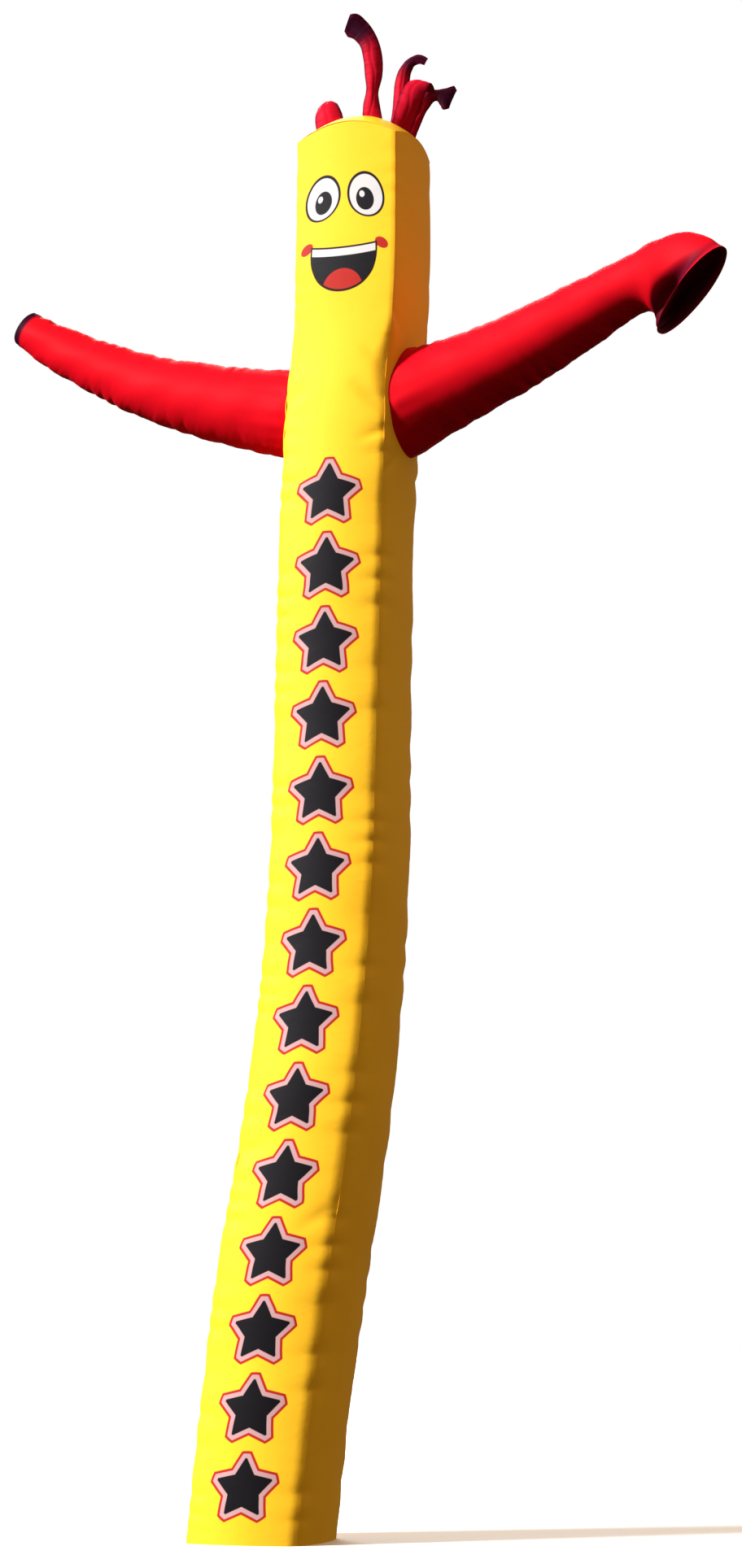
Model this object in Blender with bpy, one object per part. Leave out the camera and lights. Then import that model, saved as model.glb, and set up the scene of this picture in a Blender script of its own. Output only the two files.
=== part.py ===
"""Inflatable air dancer: a blown-up tube man of light nylon cloth.

A square tube of four long panels with a bulging crown leans gently to one side. Two tapered
sleeves are sewn over holes in its side panels as arms, open at their ends to let the air out:
the arm on -X curves up, the arm on +X rises and its flat hand droops. Five
streamers of the arms' cloth stand on the crown as hair.

Metres, +Z up. The origin is the middle of the tube's open mouth, level with its hem. The
printed front faces -Y.
"""
import bpy
import bmesh
import numpy as np

# Cloth and seams
CLOTH = 0.0025              # thickness of a piece
SEAM = 0.0003               # room between two sewn edges
ARM_SEAM = 0.0008           # room under a sleeve, where the panel's facets cut across its curve
HEM_HEIGHT = 0.040          # the mouth's hem, where the cloth lies double

# Level sections of the tube, from the mouth up: height, sideways place of the middle, half of
# a panel's width, swell of a panel's middle as a share of that half, turn in degrees
TUBE = np.array([
    # height  middle   half    swell   turn
    (0.00,   -0.003,   0.203,  0.150,  2.0),
    (0.48,    0.050,   0.203,  0.180,  2.0),
    (0.93,    0.113,   0.206,  0.180,  1.5),
    (1.38,    0.189,   0.201,  0.180,  0.5),
    (1.84,    0.248,   0.195,  0.180,  0.0),
    (2.30,    0.282,   0.192,  0.185,  0.5),
    (2.76,    0.293,   0.190,  0.185,  1.5),
    (3.23,    0.302,   0.190,  0.180,  2.5),
    (3.70,    0.317,   0.190,  0.160,  2.0),
    (4.00,    0.336,   0.190,  0.130,  0.5),
    (4.24,    0.360,   0.187,  0.090,  0.0),
    (4.51,    0.370,   0.190,  0.080,  0.0),
    (4.75,    0.373,   0.189,  0.080,  0.0),
    (5.10,    0.373,   0.187,  0.080,  0.0),
])
CORNER_HEIGHT = 4.945       # the crown's four corners
ARCHES = (0.055, 0.030)     # rise of the top edge between corners: front and back, then sides
DOME = 0.040                # further rise of the crown's middle
PANEL_BANDS = (              # a panel's rows of facets, closer together beside the arms
    # from height, rows
    (HEM_HEIGHT,   17),
    (3.72,         10),
    (4.28,          5),
)
PANEL_COLUMNS = 8
FRONT, RIGHT, BACK, LEFT = range(4)     # quarter turns from the front panel

# Stations along an arm's sleeve: distance from the seam, heading in degrees forward of
# straight out, rise in degrees, half height and half depth of the section
ARM_LEFT = np.array([
    # along  forward  rise   tall    deep
    (0.00,    0.0,     9.0,  0.160,  0.158),
    (0.20,    0.0,    13.5,  0.147,  0.146),
    (0.46,    0.0,    18.0,  0.128,  0.127),
    (0.72,    0.0,    24.0,  0.107,  0.106),
    (0.97,    0.0,    29.5,  0.087,  0.086),
    (1.18,    0.0,    34.5,  0.069,  0.069),
])
ARM_RIGHT = np.array([
    # along  forward  rise   tall    deep
    (0.000,   0.0,    19.5,  0.184,  0.165),
    (0.125,   0.0,    19.5,  0.163,  0.155),
    (0.335,   0.5,    21.5,  0.143,  0.141),
    (0.655,   2.0,    24.5,  0.121,  0.120),
    (0.845,   5.0,    22.0,  0.104,  0.102),
    (0.937,   8.0,    13.0,  0.108,  0.096),
    (1.008,  12.0,    -6.0,  0.142,  0.088),
    (1.080,  17.0,   -29.0,  0.173,  0.074),
    (1.121,  19.0,   -39.0,  0.182,  0.072),
    (1.156,  21.0,   -47.0,  0.184,  0.080),
])
ARM_SEAM_HEIGHT = {LEFT: 3.990, RIGHT: 3.995}
ARM_SEAM_FORWARD = {LEFT: 0.005, RIGHT: 0.005}
ARM_TURN = 0.30             # length in which its rings turn from the panel's plane to square
ARM_RINGS = (14, 8)         # along the sleeve, and then along its last part
ARM_END = 0.20              # length of that part
ARM_COLUMNS = 10
HAND_FOLD = 0.055           # depth of the fold behind the right hand's rim
HOLE_MARGIN = 0.014         # the sleeve's seam lies this far outside the panel's hole

# Streamers. Each runs from its seam on the crown through these points: place, then its width,
# its turn in degrees about its own length (0 faces -Y) and its curl as a share of half its width
HAIR = {
    "hair_tall": np.array([
        # x      y       z      width  turn    curl
        (0.436, -0.085,  5.038, 0.074,  10.0,  0.20),
        (0.433, -0.085,  5.095, 0.060,  15.0,  0.50),
        (0.435, -0.083,  5.140, 0.046,  30.0,  0.60),
        (0.440, -0.082,  5.205, 0.064,  20.0,  0.50),
        (0.437, -0.084,  5.275, 0.070,  20.0,  0.40),
        (0.422, -0.090,  5.334, 0.070,  10.0,  0.30),
        (0.392, -0.101,  5.377, 0.080,   0.0,  0.20),
        (0.365, -0.111,  5.396, 0.088, -10.0,  0.10),
        (0.350, -0.116,  5.403, 0.066, -10.0,  0.10),
    ]),
    "hair_wide": np.array([
        # x      y       z      width  turn    curl
        (0.534, -0.052,  5.000, 0.078,  45.0,  0.20),
        (0.553, -0.050,  5.060, 0.084,  35.0,  0.35),
        (0.572, -0.045,  5.115, 0.084,  22.0,  0.35),
        (0.586, -0.037,  5.155, 0.082,   8.0,  0.30),
        (0.597, -0.018,  5.182, 0.080,  -5.0,  0.20),
        (0.603,  0.012,  5.180, 0.076, -10.0,  0.15),
        (0.605,  0.036,  5.160, 0.070, -10.0,  0.10),
    ]),
    "hair_curl": np.array([
        # x      y       z      width  turn    curl
        (0.478,  0.060,  5.050, 0.054,  10.0,  0.20),
        (0.490,  0.060,  5.110, 0.056,  15.0,  0.50),
        (0.495,  0.060,  5.165, 0.056,  20.0,  0.60),
        (0.499,  0.062,  5.220, 0.054,  20.0,  0.60),
        (0.510,  0.066,  5.266, 0.046,  15.0,  0.55),
        (0.535,  0.072,  5.299, 0.040,   5.0,  0.50),
        (0.562,  0.079,  5.306, 0.042,   0.0,  0.30),
        (0.584,  0.085,  5.296, 0.032,   0.0,  0.30),
    ]),
    "hair_fork": np.array([
        # x      y       z      width  turn    curl
        (0.488,  0.120,  5.010, 0.060,  20.0,  0.20),
        (0.518,  0.126,  5.085, 0.056,  20.0,  0.40),
        (0.552,  0.130,  5.150, 0.054,  15.0,  0.45),
        (0.586,  0.135,  5.182, 0.050,   8.0,  0.45),
        (0.610,  0.140,  5.184, 0.048,   4.0,  0.40),
        (0.632,  0.145,  5.178, 0.080,   0.0,  0.30),
        (0.648,  0.148,  5.172, 0.106,   0.0,  0.20),
        (0.664,  0.151,  5.166, 0.080,   0.0,  0.15),
    ]),
    "hair_stub": np.array([
        # x      y       z      width  turn    curl
        (0.250,  0.010,  5.030, 0.100,   5.0,  0.20),
        (0.234,  0.006,  5.085, 0.104,   8.0,  0.35),
        (0.224,  0.018,  5.135, 0.086,  10.0,  0.45),
        (0.218,  0.050,  5.165, 0.062,  10.0,  0.50),
        (0.210,  0.092,  5.140, 0.084,  10.0,  0.40),
        (0.200,  0.125,  5.090, 0.096,  10.0,  0.25),
        (0.194,  0.140,  5.050, 0.094,  10.0,  0.10),
    ]),
}
HAIR_ROWS = 14
HAIR_COLUMNS = 4

YELLOW = (0.95, 0.72, 0.03)
RED = (0.78, 0.01, 0.02)


def clear_scene():
    """Removes every object that the new file starts with."""
    for item in list(bpy.data.objects):
        bpy.data.objects.remove(item, do_unlink=True)


def smooth(at, table, column):
    """Reads a table's column at the places `at`: cubic Hermite pieces, each row's slope being
    that between its neighbours."""
    stations = table[:, 0]
    values = table[:, column]
    slopes = np.gradient(values, stations)
    at = np.clip(at, stations[0], stations[-1])
    low = np.clip(np.searchsorted(stations, at, side="right") - 1, 0, len(stations) - 2)
    span = stations[low + 1] - stations[low]
    t = (at - stations[low]) / span
    return ((1 + 2 * t) * (1 - t) ** 2 * values[low] + t * (1 - t) ** 2 * span * slopes[low]
            + t ** 2 * (3 - 2 * t) * values[low + 1] + t ** 2 * (t - 1) * span * slopes[low + 1])


def cloth_material(name, colour):
    """Woven nylon of one colour, slightly glossy."""
    material = bpy.data.materials.new(name)
    material.use_nodes = True
    shader = material.node_tree.nodes["Principled BSDF"]
    shader.inputs["Base Color"].default_value = (*colour, 1.0)
    shader.inputs["Roughness"].default_value = 0.45
    shader.inputs["Metallic"].default_value = 0.0
    return material


def sheet_object(name, outer, inner, colour):
    """One closed sheet from two grids of points, its outer and its inner face, joined by a rim."""
    rows, columns = outer.shape[:2]
    index = np.arange(rows * columns).reshape(rows, columns)
    squares = np.stack([index[:-1, :-1], index[:-1, 1:], index[1:, 1:], index[1:, :-1]], -1)
    squares = squares.reshape(-1, 4)
    rim = np.concatenate([index[0, :-1], index[:-1, -1], index[-1, :0:-1], index[:0:-1, 0]])
    after = np.roll(rim, -1)
    back = rows * columns
    faces = np.concatenate([
        squares,
        squares[:, ::-1] + back,
        np.stack([after, rim, rim + back, after + back], -1),
    ])
    points = np.concatenate([outer.reshape(-1, 3), inner.reshape(-1, 3)])
    mesh = bpy.data.meshes.new(name)
    mesh.from_pydata(points.tolist(), [], faces.tolist())
    turn_faces_out(mesh)
    mesh.shade_smooth()
    mesh.set_sharp_from_angle(angle=np.radians(50))
    mesh.materials.append(cloth_material(name + "_cloth", colour))
    item = bpy.data.objects.new(name, mesh)
    bpy.context.collection.objects.link(item)
    return item


def turn_faces_out(mesh):
    """Makes a closed mesh's faces point away from its inside."""
    shape = bmesh.new()
    shape.from_mesh(mesh)
    bmesh.ops.recalc_face_normals(shape, faces=shape.faces)
    shape.to_mesh(mesh)
    shape.free()


# The tube

def turned(quarter, height):
    """Cosine and sine of a panel's turn about the upright axis at a height."""
    angle = quarter * np.pi / 2 + np.radians(smooth(height, TUBE, 4))
    return np.cos(angle), np.sin(angle)


def in_tube(quarter, across, out, height):
    """World points from a panel's own: across to its right, out from the tube's middle."""
    cosine, sine = turned(quarter, height)
    x = smooth(height, TUBE, 1) + across * cosine + out * sine
    y = across * sine - out * cosine
    return np.stack([x, y, height + 0 * across], -1)


def panel_levels():
    """Heights of a panel's rows of points at its corners, from the mouth to the crown."""
    levels = [0.0, HEM_HEIGHT - CLOTH]
    ends = [low for low, _ in PANEL_BANDS[1:]] + [CORNER_HEIGHT]
    for (low, rows), high in zip(PANEL_BANDS, ends):
        levels.extend(np.linspace(low, high, rows, endpoint=False))
    return np.array(levels + [CORNER_HEIGHT])


def panel_face(quarter, depth):
    """A grid of points over a panel, at a depth under its outer face.

    At each height the panel's middle stands out from its corners by
    swell * (1 - across^2) of the half width, and its top edge is an arch of the same form.
    """
    across = np.linspace(-1, 1, PANEL_COLUMNS + 1)[None, :]
    top = CORNER_HEIGHT + ARCHES[quarter % 2] * (1 - across ** 2)
    levels = panel_levels()[:, None]
    height = levels * top / CORNER_HEIGHT
    layers = np.where(levels < HEM_HEIGHT, 2, 1)
    half = smooth(height, TUBE, 2) - depth * layers
    mitre = SEAM / np.sqrt(2)
    out = half * (1 + smooth(height, TUBE, 3) * (1 - across ** 2))
    return in_tube(quarter, (half - mitre) * across, out, height)


def crown_height(u, v):
    """Height of the crown's underside at shares u and v of the half width from its middle."""
    arches = ARCHES[0] * (1 - u ** 2) + ARCHES[1] * (1 - v ** 2)
    return CORNER_HEIGHT + arches + DOME * (1 - u ** 2) * (1 - v ** 2) + SEAM


def crown_face(lift):
    """A grid over the crown: a square whose sides swell as the panels under them do."""
    u = np.linspace(-1, 1, PANEL_COLUMNS + 1)[None, :]
    v = np.linspace(-1, 1, PANEL_COLUMNS + 1)[:, None]
    half = smooth(CORNER_HEIGHT, TUBE, 2)
    swell = smooth(CORNER_HEIGHT, TUBE, 3)
    x = smooth(CORNER_HEIGHT, TUBE, 1) + half * u * (1 + swell * (1 - v ** 2))
    y = half * v * (1 + swell * (1 - u ** 2))
    return np.stack([x, y, crown_height(u, v) + lift], -1)


def make_tube():
    """The four panels and the crown."""
    panels = {}
    for quarter, name in enumerate(("panel_front", "panel_right", "panel_back", "panel_left")):
        panels[quarter] = sheet_object(
            name, panel_face(quarter, 0.0), panel_face(quarter, CLOTH), YELLOW)
    sheet_object("crown", crown_face(CLOTH), crown_face(0.0), YELLOW)
    return panels


# The arms

def arm_path(stations, quarter):
    """The arm's middle line and its direction, from its heading and rise added up in small steps."""
    along = np.linspace(0, stations[-1, 0], 400)
    outward = 1 if quarter == RIGHT else -1
    heading = np.radians(smooth(along, stations, 1))
    rise = np.radians(smooth(along, stations, 2))
    ahead = np.stack([outward * np.cos(heading) * np.cos(rise),
                      -np.sin(heading) * np.cos(rise), np.sin(rise)], -1)
    height = ARM_SEAM_HEIGHT[quarter]
    out = smooth(height, TUBE, 2) * (1 + smooth(height, TUBE, 3))
    start = in_tube(quarter, outward * -ARM_SEAM_FORWARD[quarter], out, height)
    step = along[1] - along[0]
    middle = start + np.cumsum(ahead, axis=0) * step - ahead * step / 2
    return along, middle, ahead


def hand_fold(at, angles, quarter):
    """How deep the right hand's cloth is folded in behind its rim, in front and below, and how
    much longer the fold makes the way through the cloth."""
    if quarter == LEFT:
        return 0.0, 1.0
    rim = ARM_RIGHT[-1, 0] - at[:, None]
    turn = np.angle(np.exp(1j * angles))[None, :]
    low = np.clip(0.75 - turn, 0, 2)
    fold = np.exp(-((rim - 0.018 - 0.034 * low) / (0.014 + 0.022 * low)) ** 2)
    fold = HAND_FOLD * fold * np.exp(-((turn + 0.4) / 0.65) ** 2) * np.clip(rim / 0.012, 0, 1)
    along = np.gradient(fold, at, axis=0)
    around = np.gradient(fold, angles, axis=1) / 0.1
    return fold, np.sqrt(1 + along ** 2 + around ** 2)


def arm_rings(stations, quarter, angles, depth, shift):
    """Rings of points on a sleeve's face: an ellipse across the arm at each station.

    depth goes in from the outer face, and shift moves the ring off the seams' plane, towards
    -Y where it is positive. The first ring lies on the panel, and the next ones turn from
    its plane to square across the arm, their points sliding along the arm's direction.
    """
    along, middle, ahead = arm_path(stations, quarter)
    at = np.concatenate([np.linspace(0, along[-1] - ARM_END, ARM_RINGS[0] + 1),
                         np.linspace(along[-1] - ARM_END, along[-1], ARM_RINGS[1] + 1)[1:]])
    centre = np.stack([np.interp(at, along, middle[:, k]) for k in range(3)], -1)
    forward = np.stack([np.interp(at, along, ahead[:, k]) for k in range(3)], -1)
    forward /= np.linalg.norm(forward, axis=1, keepdims=True)
    level = np.cross(forward, (0.0, 0.0, 1.0))
    level /= np.linalg.norm(level, axis=1, keepdims=True)
    level *= np.where(level[:, 1:2] > 0, -1, 1)
    up = np.cross(level, forward)
    up *= np.where(up[:, 2:3] < 0, -1, 1)
    fold, longer = hand_fold(at, angles, quarter)
    tall = smooth(at, stations, 3)[:, None] - fold - depth * longer
    deep = smooth(at, stations, 4)[:, None] - fold - depth * longer
    offset = (level[:, None] * (deep * np.cos(angles) + shift)[..., None]
              + up[:, None] * (tall * np.sin(angles))[..., None])
    slant = offset[..., 0] / forward[:, :1] * np.clip(1 - at / ARM_TURN, 0, 1)[:, None]
    rings = centre[:, None] + offset - forward[:, None] * slant[..., None]
    rings[0] = slide_to_panel(rings[0], forward[0], quarter)
    return rings


def slide_to_panel(points, ahead, quarter):
    """Moves points along the arm's direction until they lie just off the side panel's face."""
    for _ in range(8):
        height = points[:, 2]
        cosine, sine = turned(quarter, height)
        beside = points[:, 0] - smooth(height, TUBE, 1)
        across = beside * cosine + points[:, 1] * sine
        out = beside * sine - points[:, 1] * cosine
        half = smooth(height, TUBE, 2)
        face = half * (1 + smooth(height, TUBE, 3) * (1 - (across / half) ** 2))
        gap = face + ARM_SEAM - out
        points = points + ahead * (gap / (ahead[0] * sine - ahead[1] * cosine))[:, None]
    return points


def cut_arm_hole(panel, stations, quarter):
    """Cuts the hole under a sleeve out of its panel, with a prism along the arm's direction."""
    angles = np.linspace(0, 2 * np.pi, 2 * ARM_COLUMNS, endpoint=False)
    rim = arm_rings(stations, quarter, angles, HOLE_MARGIN, 0.0)[0]
    ahead = arm_path(stations, quarter)[2][0]
    reach = 0.06
    ends = np.concatenate([rim - ahead * reach, rim + ahead * reach])
    count = len(angles)
    low = np.arange(count)
    following = np.roll(low, -1)
    walls = np.stack([low, following, following + count, low + count], -1).tolist()
    mesh = bpy.data.meshes.new("hole_cutter")
    mesh.from_pydata(ends.tolist(), [], walls + [low.tolist(), (low + count).tolist()])
    turn_faces_out(mesh)
    cutter = bpy.data.objects.new("hole_cutter_" + panel.name, mesh)
    cutter.hide_render = True
    cutter.display_type = "WIRE"
    bpy.context.collection.objects.link(cutter)
    hole = panel.modifiers.new("arm_hole", "BOOLEAN")
    hole.object = cutter
    hole.operation = "DIFFERENCE"
    hole.solver = "EXACT"


def make_arm(name, stations, quarter):
    """An arm's front and back halves, sewn to each other along its top and its underside."""
    for half, first, side in (("front", -np.pi / 2, 1), ("back", np.pi / 2, -1)):
        angles = np.linspace(first, first + np.pi, ARM_COLUMNS + 1)
        outer, inner = (arm_rings(stations, quarter, angles, depth, side * SEAM / 2)
                        for depth in (0.0, CLOTH))
        sheet_object(name + "_" + half, outer, inner, RED)


# The hair

def streamer_face(points, lift):
    """A grid over a streamer: a strip along a curve through the table's points, its middle
    raised over its edges by its curl. lift is the height above its middle surface."""
    steps = np.linalg.norm(np.diff(points[:, :3], axis=0), axis=1)
    table = np.column_stack([np.concatenate([[0], np.cumsum(steps)]), points])
    at = np.linspace(0, table[-1, 0], HAIR_ROWS + 1)
    middle = np.stack([smooth(at, table, k) for k in (1, 2, 3)], -1)
    ahead = np.gradient(middle, at, axis=0)
    ahead /= np.linalg.norm(ahead, axis=1, keepdims=True)
    level = carried_along(ahead, (1.0, 0.0, 0.0))
    turn = np.radians(smooth(at, table, 5))[:, None]
    across = level * np.cos(turn) + np.cross(ahead, level) * np.sin(turn)
    normal = np.cross(across, ahead)
    half = smooth(at, table, 4)[:, None] / 2
    share = np.linspace(-1, 1, HAIR_COLUMNS + 1)[None, :]
    raised = half * smooth(at, table, 6)[:, None] * (1 - share ** 2) + lift
    return (middle[:, None] + across[:, None] * (half * share)[..., None]
            + normal[:, None] * raised[..., None])


def carried_along(ahead, start):
    """A direction carried along a curve without turning about it, kept square to it."""
    carried = []
    for direction in ahead:
        start = start - direction * np.dot(direction, start)
        start = start / np.linalg.norm(start)
        carried.append(start)
    return np.array(carried)


def drop_to_crown(points):
    """Sets the first row of a streamer's points just above the crown.

    The crown's own shares u and v of a place are found by turns, as each swells the other.
    """
    half = smooth(CORNER_HEIGHT, TUBE, 2)
    swell = smooth(CORNER_HEIGHT, TUBE, 3)
    x = (points[0, :, 0] - smooth(CORNER_HEIGHT, TUBE, 1)) / half
    y = points[0, :, 1] / half
    u, v = x, y
    for _ in range(6):
        u, v = x / (1 + swell * (1 - v ** 2)), y / (1 + swell * (1 - u ** 2))
    points[0, :, 2] = crown_height(u, v) + CLOTH + SEAM
    return points


def make_hair():
    """Each streamer, standing on the crown."""
    for name, points in HAIR.items():
        sheet_object(name, drop_to_crown(streamer_face(points, CLOTH / 2)),
                     drop_to_crown(streamer_face(points, -CLOTH / 2)), RED)


clear_scene()
tube_panels = make_tube()
cut_arm_hole(tube_panels[LEFT], ARM_LEFT, LEFT)
cut_arm_hole(tube_panels[RIGHT], ARM_RIGHT, RIGHT)
make_arm("arm_left", ARM_LEFT, LEFT)
make_arm("arm_right", ARM_RIGHT, RIGHT)
make_hair()
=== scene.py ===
"""Inflatable air dancer: the looks of its cloth, sewn up piece by piece from the mouth to the hair.

Metres, +Z up, the printed front facing -Y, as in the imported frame.
"""

import bpy
import numpy as np
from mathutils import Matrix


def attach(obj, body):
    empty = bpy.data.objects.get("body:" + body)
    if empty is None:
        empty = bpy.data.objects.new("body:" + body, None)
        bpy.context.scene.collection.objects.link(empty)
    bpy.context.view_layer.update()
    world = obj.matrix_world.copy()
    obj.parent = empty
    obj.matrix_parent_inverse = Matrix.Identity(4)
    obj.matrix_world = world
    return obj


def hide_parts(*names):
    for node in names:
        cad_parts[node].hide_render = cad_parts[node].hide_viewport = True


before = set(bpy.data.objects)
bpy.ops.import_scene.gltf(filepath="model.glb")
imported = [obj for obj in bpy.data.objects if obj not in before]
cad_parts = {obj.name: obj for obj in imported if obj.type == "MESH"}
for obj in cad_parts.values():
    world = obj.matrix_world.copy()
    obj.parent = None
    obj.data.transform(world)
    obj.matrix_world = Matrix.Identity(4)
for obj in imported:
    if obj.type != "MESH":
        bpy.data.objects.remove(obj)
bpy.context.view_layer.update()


# ------------------------------
# The studio. A white floor and a white backdrop far off, a strong soft lamp high on the left, weak
# ones behind and on the right, and a dim warm room. The camera stands low on the right.

CAMERA_TURN = 22.0  # degrees round the figure from its front, towards +X
CAMERA_DISTANCE = 11.816
CAMERA_HEIGHT = 0.9
CAMERA_YAW = 20.18
CAMERA_PITCH = 8.41
CAMERA_LENS = 76.67  # mm, for a 36 mm frame along the picture's long side
KEY_LAMP = (-50.0, 29.0, 8.2, 12.0)  # turn from the front, height above level, power, size
BACK_LAMP = (-150.0, 30.0, 2.2, 30.0)
SIDE_LAMP = (100.0, 6.0, 0.29, 40.0)
ROOM_LIGHT = (0.02, 0.52)  # light of the room from below and from above
ROOM_BAND = (-0.4, 0.6)  # where one turns into the other, from -1 below to 1 above
ROOM_COLOUR = (1.0, 0.74, 0.52)  # warmed by the sunlit ground that lies round it
FLOOR_SIZE = 60.0


def add_object(name, data):
    """Puts a new object with this data into the scene."""
    thing = bpy.data.objects.new(name, data)
    bpy.context.scene.collection.objects.link(thing)
    return thing


def add_camera():
    """A camera pitched a little up."""
    turn = np.radians(CAMERA_TURN)
    data = bpy.data.cameras.new("camera")
    data.lens = CAMERA_LENS
    data.sensor_width = 36.0
    camera = add_object("camera", data)
    camera.location = (CAMERA_DISTANCE * np.sin(turn), -CAMERA_DISTANCE * np.cos(turn), CAMERA_HEIGHT)
    camera.rotation_euler = (np.radians(90 + CAMERA_PITCH), 0, np.radians(CAMERA_YAW))
    bpy.context.scene.camera = camera


def add_lamp(name, turn, rise, power, size, colour=(1.0, 1.0, 1.0)):
    """A far lamp that shines at the figure from a turn off its front and a height above level."""
    data = bpy.data.lights.new(name, "SUN")
    data.energy = power
    data.color = colour
    data.angle = np.radians(size)
    lamp = add_object(name, data)
    lamp.rotation_euler = (np.radians(90 - rise), 0, np.radians(turn))


def add_room():
    """White to the eye, and dimmer as light: brighter from above than from below."""
    world = bpy.data.worlds.new("room")
    world.use_nodes = True
    tree = world.node_tree
    tree.nodes.clear()
    kinds = ("TexCoord", "SeparateXYZ", "MapRange", "Background", "Background", "LightPath",
             "MixShader", "OutputWorld")
    place, split, height, dim, white, seen, mix, out = [
        tree.nodes.new("ShaderNode" + kind) for kind in kinds]
    for socket, value in zip(("From Min", "From Max", "To Min", "To Max"), ROOM_BAND + ROOM_LIGHT):
        height.inputs[socket].default_value = value
    link = tree.links.new
    link(place.outputs["Generated"], split.inputs[0])
    link(split.outputs["Z"], height.inputs["Value"])
    link(height.outputs["Result"], dim.inputs["Strength"])
    link(seen.outputs["Is Camera Ray"], mix.inputs[0])
    link(dim.outputs[0], mix.inputs[1])
    link(white.outputs[0], mix.inputs[2])
    link(mix.outputs[0], out.inputs["Surface"])
    dim.inputs["Color"].default_value = (*ROOM_COLOUR, 1.0)
    white.inputs["Color"].default_value = (1.0, 1.0, 1.0, 1.0)
    bpy.context.scene.world = world


def add_floor():
    """A pale floor that throws no light back up at the figure."""
    side = FLOOR_SIZE / 2
    mesh = bpy.data.meshes.new("floor")
    mesh.from_pydata([(-side, -side, 0), (side, -side, 0), (side, side, 0), (-side, side, 0)],
                     [], [(0, 1, 2, 3)])
    floor = add_object("floor", mesh)
    floor.visible_diffuse = False
    floor.visible_glossy = False
    material = bpy.data.materials.new("floor_paper")
    material.use_nodes = True
    shader = material.node_tree.nodes["Principled BSDF"]
    for socket, value in (("Base Color", (0.97, 0.97, 0.97, 1.0)), ("Roughness", 0.9),
                          ("Specular IOR Level", 0.0)):
        shader.inputs[socket].default_value = value
    mesh.materials.append(material)


add_camera()
add_lamp("key_lamp", *KEY_LAMP)
add_lamp("back_lamp", *BACK_LAMP)
add_lamp("side_lamp", *SIDE_LAMP, ROOM_COLOUR)
add_room()
add_floor()
bpy.context.scene.view_settings.view_transform = "Standard"


# ------------------------------
# The body's four panels. Long strips of woven nylon, sewn to each other along the tube's four
# corners with two rows of stitches, blown out between the seams and puckered along them. The
# side panels have a hole under each sleeve.

# Level sections of the tube, as in the solids: height, sideways place of the middle, half of a
# panel's width, swell of its middle as a share of that half, turn in degrees; and the radius of
# the round that the air pushes into the corners
TUBE = np.array([
    # height  middle   half    swell   turn  round
    (0.00,   -0.003,   0.203,  0.150,  2.0,  0.070),
    (0.48,    0.050,   0.203,  0.180,  2.0,  0.080),
    (0.93,    0.113,   0.206,  0.180,  1.5,  0.085),
    (1.38,    0.189,   0.201,  0.180,  0.5,  0.085),
    (1.84,    0.248,   0.195,  0.180,  0.0,  0.070),
    (2.30,    0.282,   0.192,  0.185,  0.5,  0.060),
    (2.76,    0.293,   0.190,  0.185,  1.5,  0.060),
    (3.23,    0.302,   0.190,  0.180,  2.5,  0.055),
    (3.70,    0.317,   0.190,  0.160,  2.0,  0.045),
    (4.00,    0.336,   0.190,  0.130,  0.5,  0.030),
    (4.24,    0.360,   0.187,  0.090,  0.0,  0.016),
    (4.51,    0.370,   0.190,  0.080,  0.0,  0.012),
    (4.75,    0.373,   0.189,  0.080,  0.0,  0.012),
    (5.10,    0.373,   0.187,  0.080,  0.0,  0.012),
])
CORNER_HEIGHT = 4.945
ARCHES = (0.055, 0.030)  # rise of the top edge between corners: front and back, then sides
DOME = 0.040
PULLED_CORNER = (4.080, 0.120, 0.075)  # beside the right sleeve: height, reach, added round
ROUND_SHARE = 0.45  # how much of what a round corner loses is given back in width
CLOTH = 0.0012  # thickness
PANEL_ROWS = 620
PANEL_COLUMNS = 46
FRONT, RIGHT, BACK, LEFT = range(4)  # quarter turns from the front panel

# Puckers along the four corners, from the front right one round by the back: between two of
# them, how far the seam runs in and out, and the height of the puckers beside it
PUCKERS = ((0.150, 0.0040, 0.0006), (0.190, 0.0070, 0.0012), (0.120, 0.0050, 0.0012),
           (0.115, 0.0055, 0.0012))
PUCKER_REACH = 0.030  # from a seam to the top of its puckers
SEAM_REACH = 0.045  # over which the seam's own waves fade into the panel
FIRM_HEAD = (4.25, 0.50, 0.35)  # puckers fade up to a height, over a length, to a share
FIRM_MOUTH = (0.15, 0.10)  # and fade below a height to a share
SLACK = (0.0022, 0.61)  # slow waves over a panel: height and spacing

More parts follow.
